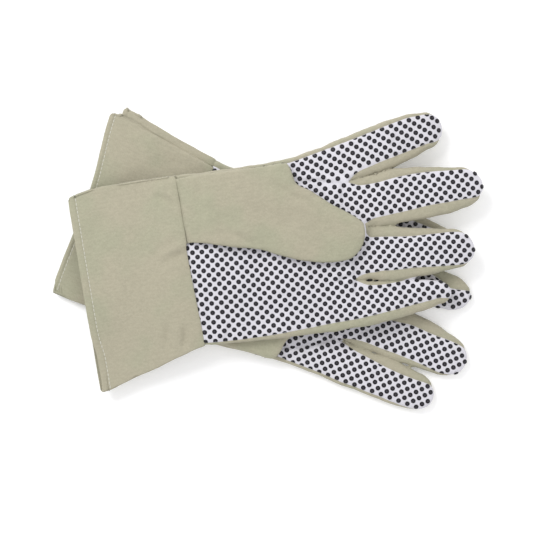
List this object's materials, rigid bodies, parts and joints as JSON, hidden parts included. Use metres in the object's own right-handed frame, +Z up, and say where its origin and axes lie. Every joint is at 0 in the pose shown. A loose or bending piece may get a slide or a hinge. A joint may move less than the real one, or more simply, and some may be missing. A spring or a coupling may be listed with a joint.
{
  "type": "gardening gloves",
  "caption": "Pair of cotton gardening gloves with flared gauntlet cuffs and dotted grip palms, lying crossed palms up, with fingers, thumb and cuff that fold.",
  "frame": {"origin": "middle of the pair's footprint, on the surface it lies on", "axes": "+X along the pair, towards the fingertips; +Z up, the way both palms face"},
  "size_m": [0.2964, 0.2124, 0.0329],
  "materials": {
    "cotton_drill": "matt woven cotton drill, sage beige",
    "dotted_cotton": "matt off-white knit with raised charcoal grip dots"
  },
  "bodies": {
    "right_glove": {"right_back_panel": "cotton_drill", "right_cuff_back_panel": "cotton_drill", "right_cuff_hem": "cotton_drill", "right_cuff_palm_panel": "cotton_drill", "right_hand_side_strip": "cotton_drill", "right_middle_base_back": "cotton_drill", "right_middle_base_front": "dotted_cotton", "right_middle_base_sides": "cotton_drill", "right_palm_panel": "dotted_cotton", "right_pinky_back": "cotton_drill", "right_pinky_front": "dotted_cotton", "right_pinky_sides": "cotton_drill", "right_ring_back": "cotton_drill", "right_ring_front": "dotted_cotton", "right_ring_sides": "cotton_drill", "right_thumb_inner": "dotted_cotton", "right_thumb_outer": "cotton_drill"},
    "right_index_base": {"right_index_base_front": "dotted_cotton", "right_index_base_back": "cotton_drill", "right_index_base_sides": "cotton_drill"},
    "right_index_tip": {"right_index_tip_front": "dotted_cotton", "right_index_tip_back": "cotton_drill", "right_index_tip_sides": "cotton_drill"},
    "right_middle_tip": {"right_middle_tip_front": "dotted_cotton", "right_middle_tip_back": "cotton_drill", "right_middle_tip_sides": "cotton_drill"},
    "left_glove": {"left_palm_panel": "dotted_cotton", "left_back_panel": "cotton_drill", "left_hand_side_strip": "cotton_drill"},
    "left_cuff": {"left_cuff_palm_panel": "cotton_drill", "left_cuff_back_panel": "cotton_drill", "left_cuff_hem": "cotton_drill"},
    "left_thumb": {"left_thumb_inner": "dotted_cotton", "left_thumb_outer": "cotton_drill"},
    "left_index_base": {"left_index_base_front": "dotted_cotton", "left_index_base_back": "cotton_drill", "left_index_base_sides": "cotton_drill"},
    "left_index_tip": {"left_index_tip_front": "dotted_cotton", "left_index_tip_back": "cotton_drill", "left_index_tip_sides": "cotton_drill"},
    "left_middle_base": {"left_middle_base_front": "dotted_cotton", "left_middle_base_back": "cotton_drill", "left_middle_base_sides": "cotton_drill"},
    "left_middle_tip": {"left_middle_tip_front": "dotted_cotton", "left_middle_tip_back": "cotton_drill", "left_middle_tip_sides": "cotton_drill"},
    "left_ring_base": {"left_ring_base_front": "dotted_cotton", "left_ring_base_back": "cotton_drill", "left_ring_base_sides": "cotton_drill"},
    "left_ring_tip": {"left_ring_tip_front": "dotted_cotton", "left_ring_tip_back": "cotton_drill", "left_ring_tip_sides": "cotton_drill"},
    "left_pinky_base": {"left_pinky_base_front": "dotted_cotton", "left_pinky_base_back": "cotton_drill", "left_pinky_base_sides": "cotton_drill"},
    "left_pinky_tip": {"left_pinky_tip_front": "dotted_cotton", "left_pinky_tip_back": "cotton_drill", "left_pinky_tip_sides": "cotton_drill"}
  },
  "joints": [
    {"name": "left_glove_lift", "type": "slide", "parent": "right_glove", "child": "left_glove", "axis": [0, 0, 1], "range_m": [0, 0.2]},
    {"name": "left_index_base_bend", "type": "hinge", "parent": "left_glove", "child": "left_index_base", "pos_m": [0.05357, 0.06954, 0.0256], "axis": [0.165, -0.9863, 0], "range_deg": [0, 90]},
    {"name": "left_index_tip_bend", "type": "hinge", "parent": "left_index_base", "child": "left_index_tip", "pos_m": [0.08489, 0.07982, 0.02044], "axis": [0.165, -0.9863, 0], "range_deg": [0, 90]},
    {"name": "left_middle_base_bend", "type": "hinge", "parent": "left_glove", "child": "left_middle_base", "pos_m": [0.06534, 0.03856, 0.0256], "axis": [0.165, -0.9863, 0], "range_deg": [0, 90]},
    {"name": "left_middle_tip_bend", "type": "hinge", "parent": "left_middle_base", "child": "left_middle_tip", "pos_m": [0.10272, 0.04487, 0.02295], "axis": [0.165, -0.9863, 0], "range_deg": [0, 90]},
    {"name": "left_ring_base_bend", "type": "hinge", "parent": "left_glove", "child": "left_ring_base", "pos_m": [0.07038, 0.00239, 0.0256], "axis": [0.165, -0.9863, 0], "range_deg": [0, 90]},
    {"name": "left_ring_tip_bend", "type": "hinge", "parent": "left_ring_base", "child": "left_ring_tip", "pos_m": [0.10338, 0.00465, 0.0233], "axis": [0.165, -0.9863, 0], "range_deg": [0, 90]},
    {"name": "left_pinky_base_bend", "type": "hinge", "parent": "left_glove", "child": "left_pinky_base", "pos_m": [0.06368, -0.0333, 0.0256], "axis": [0.165, -0.9863, 0], "range_deg": [0, 90]},
    {"name": "left_pinky_tip_bend", "type": "hinge", "parent": "left_pinky_base", "child": "left_pinky_tip", "pos_m": [0.0921, -0.02784, 0.02358], "axis": [0.165, -0.9863, 0], "range_deg": [0, 90]},
    {"name": "left_cuff_fold", "type": "hinge", "parent": "left_glove", "child": "left_cuff", "pos_m": [-0.05703, -0.00265, 0.0256], "axis": [-0.165, 0.9863, 0], "range_deg": [0, 90]},
    {"name": "left_thumb_open", "type": "hinge", "parent": "left_glove", "child": "left_thumb", "pos_m": [-0.02762, 0.06391, 0.02575], "axis": [-0.9863, -0.165, 0], "range_deg": [0, 150]},
    {"name": "right_index_base_bend", "type": "hinge", "parent": "right_glove", "child": "right_index_base", "pos_m": [0.04274, -0.07166, 0.009], "axis": [-0.304, -0.9527, 0], "range_deg": [0, 90]},
    {"name": "right_index_tip_bend", "type": "hinge", "parent": "right_index_base", "child": "right_index_tip", "pos_m": [0.07377, -0.08298, 0.009], "axis": [-0.304, -0.9527, 0], "range_deg": [0, 90]},
    {"name": "right_middle_tip_bend", "type": "hinge", "parent": "right_glove", "child": "right_middle_tip", "pos_m": [0.09435, -0.0563, 0.009], "axis": [-0.304, -0.9527, 0], "range_deg": [0, 90]}
  ]
}
